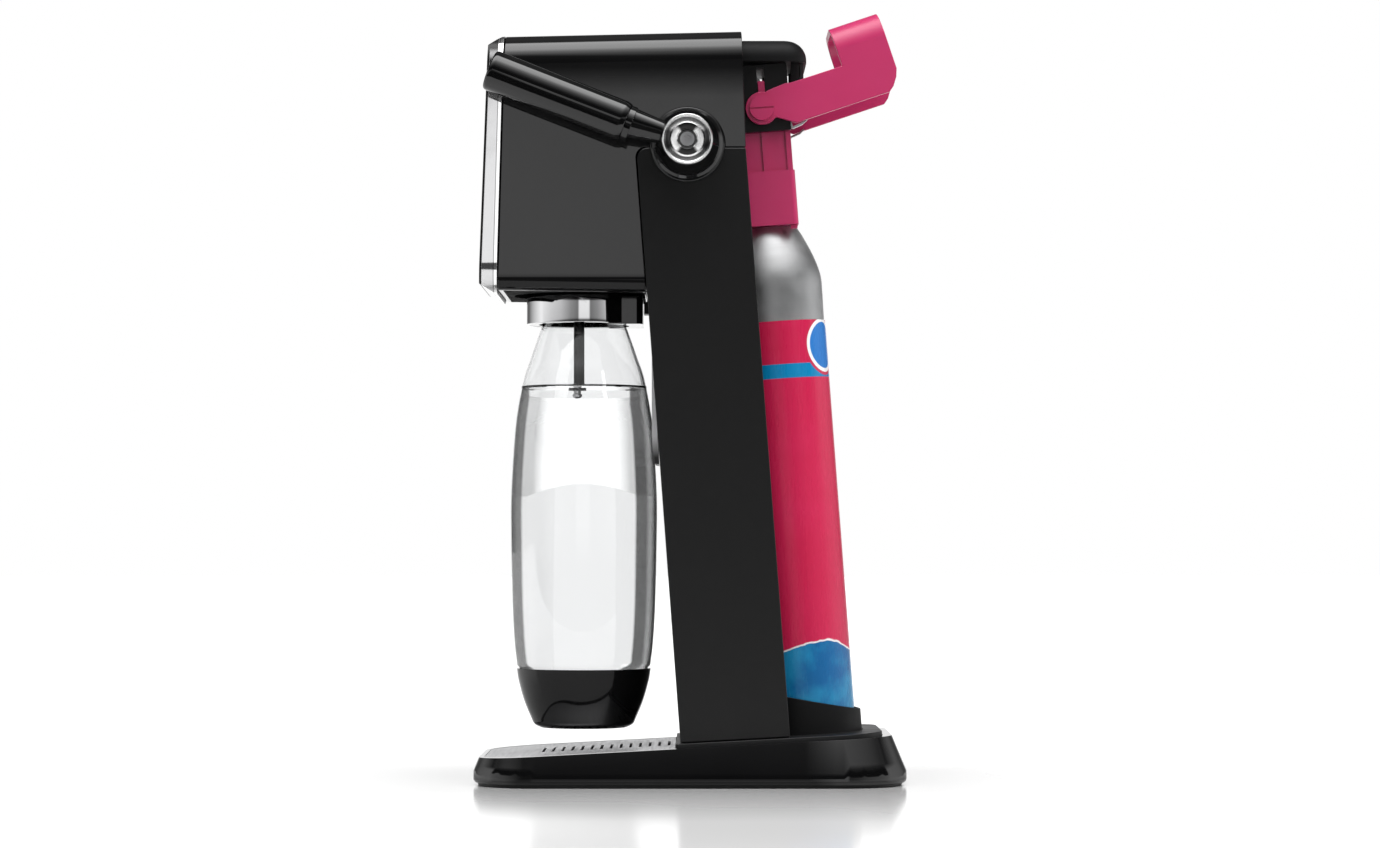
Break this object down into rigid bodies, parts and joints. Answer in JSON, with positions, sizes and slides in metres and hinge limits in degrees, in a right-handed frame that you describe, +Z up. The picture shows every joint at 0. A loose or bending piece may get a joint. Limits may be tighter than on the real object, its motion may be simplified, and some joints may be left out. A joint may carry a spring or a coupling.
{
  "type": "soda carbonator",
  "caption": "Manual soda carbonator with a pull-down lever, a tilting bottle carriage, a lift-off drip tray and a rear gas cylinder lifted by a quick-connect handle.",
  "frame": {"origin": "centre of the base's plan, on the surface the machine stands on", "axes": "+Z up, -Y to the front where the bottle is, +Y to the gas cylinder at the back, +X to the side with the lever"},
  "size_m": [0.162, 0.2466, 0.4425],
  "materials": {
    "gloss_black": "gloss",
    "satin_black": "satin",
    "clear_grey": "satin",
    "polished_frame": "satin",
    "chrome": "polished",
    "tray_steel": "satin",
    "pink": "gloss",
    "cylinder_aluminium": "satin",
    "label": "satin",
    "bottle_clear": "gloss",
    "brass": "satin",
    "rubber": "matte",
    "steel": "satin",
    "tube_white": "satin"
  },
  "bodies": {
    "machine": {"base_shell": "gloss_black", "base_bottom_plate": "satin_black", "rubber_feet": "rubber", "base_screws": "steel", "column_plinth": "satin_black", "column_cover_right": "gloss_black", "column_cover_left": "gloss_black", "column_front_wall": "gloss_black", "column_frame": "satin_black", "bottle_backrest": "clear_grey", "carriage_catch": "satin_black", "head_shell": "gloss_black", "head_underside": "satin_black", "front_bezel": "polished_frame", "front_panel": "gloss_black", "rear_cap": "gloss_black", "lever_boss": "gloss_black", "shaft_bushes": "satin_black", "rocker_pin": "steel", "gas_socket": "brass", "valve_holder": "satin_black", "handle_pins": "steel", "catch_springs": "steel", "gas_hose": "rubber", "cylinder_cup": "satin_black", "lever_return_spring": "steel"},
    "lever": {"lever_shaft": "steel", "lever_arm": "gloss_black", "lever_grip": "gloss_black", "lever_cap": "chrome", "lever_screw": "steel", "lever_cam": "steel"},
    "rocker": {"rocker": "steel"},
    "plunger": {"plunger": "steel"},
    "carriage": {"collar_ring": "chrome", "collar_core": "satin_black", "nozzle_block": "satin_black", "carriage_pins": "steel", "bottle_seal": "rubber", "carbonating_tube": "tube_white", "nozzle_tip": "tube_white", "relief_valve": "brass", "bottle": "bottle_clear", "bottle_base_cap": "gloss_black"},
    "cylinder": {"cylinder_carrier": "pink", "gas_cylinder": "cylinder_aluminium", "cylinder_label": "label", "cylinder_valve": "brass"},
    "valve_pin": {"valve_pin": "brass"},
    "handle": {"quick_connect_handle": "pink"},
    "tray": {"drip_tray": "tray_steel"}
  },
  "joints": [
    {"name": "lever_pull", "type": "hinge", "parent": "machine", "child": "lever", "pos_m": [0, -0.0015, 0.3623], "axis": [1, 0, 0], "range_deg": [0, 45], "stiffness_Nm_per_rad": 0.3, "springref_deg": -28.65},
    {"name": "rocker_tilt", "type": "hinge", "parent": "machine", "child": "rocker", "pos_m": [0, 0.01827, 0.3974], "axis": [1, 0, 0], "range_deg": [-8.6, 0]},
    {"name": "plunger_slide", "type": "slide", "parent": "machine", "child": "plunger", "axis": [0, 0.0741, -0.9973], "range_m": [0, 0.00305]},
    {"name": "carriage_tilt", "type": "hinge", "parent": "machine", "child": "carriage", "pos_m": [0, -0.061, 0.2875], "axis": [1, 0, 0], "range_deg": [-18, 0]},
    {"name": "carrier_lift", "type": "slide", "parent": "machine", "child": "cylinder", "axis": [0, -0.0741, 0.9973], "range_m": [0, 0.007]},
    {"name": "handle_swing", "type": "hinge", "parent": "machine", "child": "handle", "pos_m": [0, 0.0412, 0.38627], "axis": [1, 0, 0], "range_deg": [-104.2, 0]},
    {"name": "valve_pin_press", "type": "slide", "parent": "cylinder", "child": "valve_pin", "axis": [0, 0.0741, -0.9973], "range_m": [0, 0.0015], "stiffness_N_per_m": 400, "springref_m": -0.002},
    {"name": "tray_lift", "type": "slide", "parent": "machine", "child": "tray", "axis": [0, -0.0534, 0.9986], "range_m": [0, 0.009]}
  ],
  "couplings": [
    {"joint": "rocker_tilt", "follows": "lever_pull", "ratio": -0.18867},
    {"joint": "plunger_slide", "follows": "lever_pull", "m_per_rad": 0.0038197},
    {"joint": "handle_swing", "follows": "carrier_lift", "rad_per_m": -259.3}
  ]
}
